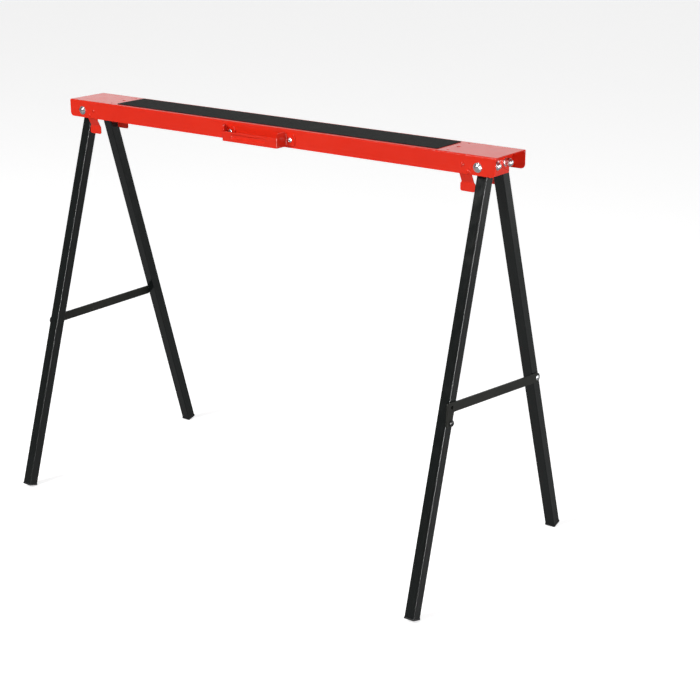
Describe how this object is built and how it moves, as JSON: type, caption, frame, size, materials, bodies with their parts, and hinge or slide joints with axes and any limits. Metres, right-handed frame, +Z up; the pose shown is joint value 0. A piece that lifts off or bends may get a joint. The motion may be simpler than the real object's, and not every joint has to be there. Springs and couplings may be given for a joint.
{
  "type": "folding sawhorse",
  "caption": "Folding steel sawhorse: a red channel beam with a grip strip and carrying handle, and two black leg sets that splay, latch with a hooked strut and fold up under the beam.",
  "frame": {"origin": "on the floor under the middle of the beam", "axes": "+X along the beam to the right end, +Y to the rear (the handle is on the front, -Y), +Z up"},
  "size_m": [1.015, 0.5098, 0.7842],
  "materials": {
    "red_paint": "smooth satin-gloss red powder coat",
    "grip_rubber": "matt black fine-grained non-slip strip",
    "black_paint": "satin black powder coat",
    "strut_paint": "satin black",
    "black_plastic": "moulded matt black",
    "black_steel": "black oxide, semi-gloss",
    "zinc_steel": "bright zinc plate"
  },
  "bodies": {
    "beam": {"beam_channel": "red_paint", "grip_strip": "grip_rubber", "carry_handle": "red_paint", "handle_screws": "zinc_steel", "handle_nuts": "zinc_steel", "bracket_pivot_bolts": "zinc_steel", "bracket_pivot_nuts": "zinc_steel", "bracket_spacers": "zinc_steel", "clip_rivets": "red_paint", "clip_plate_front_right": "red_paint", "clip_plate_rear_right": "red_paint", "clip_plate_front_left": "red_paint", "clip_plate_rear_left": "red_paint"},
    "bracket_right": {"leg_bracket_right": "red_paint", "leg_pivot_bolts_right": "zinc_steel", "leg_pivot_washers_right": "zinc_steel", "leg_dome_nuts_right": "zinc_steel"},
    "leg_rear_right": {"leg_tube_rear_right": "black_paint", "leg_sleeve_rear_right": "zinc_steel", "foot_cap_rear_right": "black_plastic", "strut_rivet_right": "zinc_steel", "strut_washer_right": "zinc_steel"},
    "leg_front_right": {"leg_tube_front_right": "black_paint", "leg_sleeve_front_right": "zinc_steel", "foot_cap_front_right": "black_plastic", "latch_stud_right": "black_steel"},
    "strut_right": {"strut_right": "strut_paint"},
    "bracket_left": {"leg_bracket_left": "red_paint", "leg_pivot_bolts_left": "zinc_steel", "leg_pivot_washers_left": "zinc_steel", "leg_dome_nuts_left": "zinc_steel"},
    "leg_front_left": {"leg_tube_front_left": "black_paint", "leg_sleeve_front_left": "zinc_steel", "foot_cap_front_left": "black_plastic", "strut_rivet_left": "zinc_steel", "strut_washer_left": "zinc_steel"},
    "leg_rear_left": {"leg_tube_rear_left": "black_paint", "leg_sleeve_rear_left": "zinc_steel", "foot_cap_rear_left": "black_plastic", "latch_stud_left": "black_steel"},
    "strut_left": {"strut_left": "strut_paint"},
    "clip_front_right": {"clip_tab_front_right": "red_paint"},
    "clip_rear_right": {"clip_tab_rear_right": "red_paint"},
    "clip_front_left": {"clip_tab_front_left": "red_paint"},
    "clip_rear_left": {"clip_tab_rear_left": "red_paint"}
  },
  "joints": [
    {"name": "fold_right", "type": "hinge", "parent": "beam", "child": "bracket_right", "pos_m": [0.4725, 0, 0.763], "axis": [0, 1, 0], "range_deg": [0, 90.95]},
    {"name": "close_rear_right", "type": "hinge", "parent": "bracket_right", "child": "leg_rear_right", "pos_m": [0.473, 0.0198, 0.76301], "axis": [-0.9999, 0, -0.0166], "range_deg": [0, 16.47]},
    {"name": "close_front_right", "type": "hinge", "parent": "bracket_right", "child": "leg_front_right", "pos_m": [0.473, -0.0198, 0.76301], "axis": [0.9999, 0, 0.0166], "range_deg": [0, 16.47]},
    {"name": "swing_strut_right", "type": "hinge", "parent": "leg_rear_right", "child": "strut_right", "pos_m": [0.4909, 0.14551, 0.33804], "axis": [-0.9999, 0, -0.0166], "range_deg": [0, 68.03]},
    {"name": "fold_left", "type": "hinge", "parent": "beam", "child": "bracket_left", "pos_m": [-0.4725, 0, 0.763], "axis": [0, -1, 0], "range_deg": [0, 81.95]},
    {"name": "close_front_left", "type": "hinge", "parent": "bracket_left", "child": "leg_front_left", "pos_m": [-0.473, -0.0198, 0.76301], "axis": [0.9999, 0, -0.0166], "range_deg": [0, 16.47]},
    {"name": "close_rear_left", "type": "hinge", "parent": "bracket_left", "child": "leg_rear_left", "pos_m": [-0.473, 0.0198, 0.76301], "axis": [-0.9999, 0, 0.0166], "range_deg": [0, 16.47]},
    {"name": "swing_strut_left", "type": "hinge", "parent": "leg_front_left", "child": "strut_left", "pos_m": [-0.4909, -0.14551, 0.33804], "axis": [0.9999, 0, -0.0166], "range_deg": [0, 73.53]},
    {"name": "flex_clip_front_right", "type": "hinge", "parent": "beam", "child": "clip_front_right", "pos_m": [0.4475, -0.04625, 0.7512], "axis": [1, 0, 0], "range_deg": [0, 8], "stiffness_Nm_per_rad": 4},
    {"name": "flex_clip_rear_right", "type": "hinge", "parent": "beam", "child": "clip_rear_right", "pos_m": [0.4475, 0.04625, 0.7512], "axis": [-1, 0, 0], "range_deg": [0, 8], "stiffness_Nm_per_rad": 4},
    {"name": "flex_clip_front_left", "type": "hinge", "parent": "beam", "child": "clip_front_left", "pos_m": [-0.4475, -0.04625, 0.7512], "axis": [1, 0, 0], "range_deg": [0, 8], "stiffness_Nm_per_rad": 4},
    {"name": "flex_clip_rear_left", "type": "hinge", "parent": "beam", "child": "clip_rear_left", "pos_m": [-0.4475, 0.04625, 0.7512], "axis": [-1, 0, 0], "range_deg": [0, 8], "stiffness_Nm_per_rad": 4}
  ],
  "couplings": [
    {"joint": "close_rear_right", "follows": "fold_right", "ratio": 0.18109},
    {"joint": "close_front_right", "follows": "fold_right", "ratio": 0.18109},
    {"joint": "swing_strut_right", "follows": "fold_right", "ratio": 0.74799},
    {"joint": "close_front_left", "follows": "fold_left", "ratio": 0.20098},
    {"joint": "close_rear_left", "follows": "fold_left", "ratio": 0.20098},
    {"joint": "swing_strut_left", "follows": "fold_left", "ratio": 0.89725}
  ]
}
